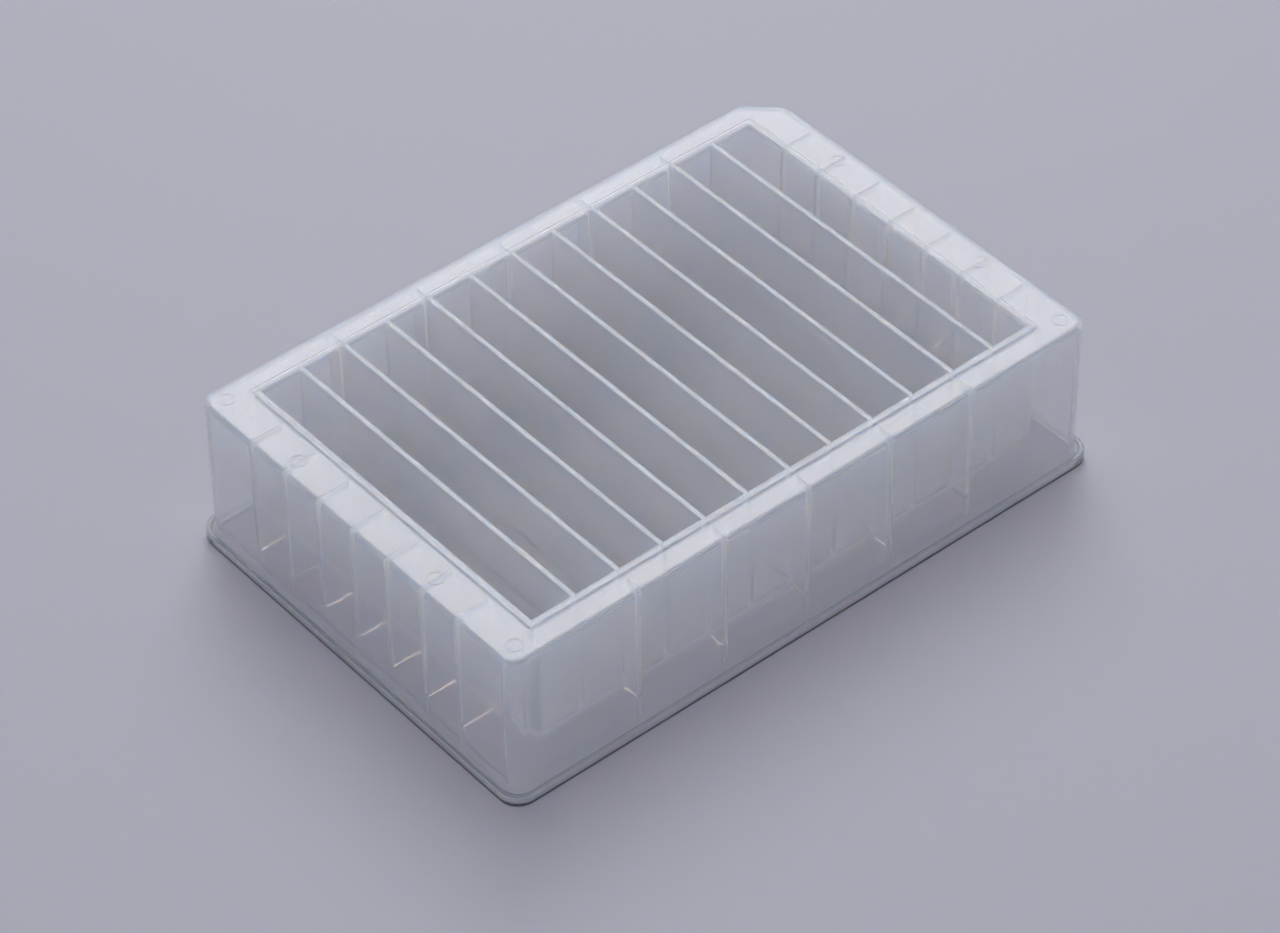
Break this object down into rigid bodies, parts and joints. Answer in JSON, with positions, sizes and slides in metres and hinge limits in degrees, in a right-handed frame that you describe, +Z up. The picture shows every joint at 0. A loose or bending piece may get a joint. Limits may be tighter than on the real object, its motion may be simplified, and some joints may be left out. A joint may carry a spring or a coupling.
{
  "type": "reagent reservoir",
  "caption": "Translucent moulded reagent reservoir in a standard plate footprint, with parallel open troughs, a skirt with a base flange and one chamfered key corner.",
  "frame": {"origin": "middle of the base footprint, on the surface that the reservoir stands on", "axes": "+X along the row of troughs, +Y along each trough, +Z up out of the troughs; the chamfered key corner is at +X +Y"},
  "size_m": [0.1278, 0.0854, 0.0314],
  "materials": {
    "natural_polypropylene": "translucent uncoloured polypropylene, fine satin above the parting line and smoother below it"
  },
  "bodies": {
    "root": {"reservoir": "natural_polypropylene"}
  },
  "joints": []
}
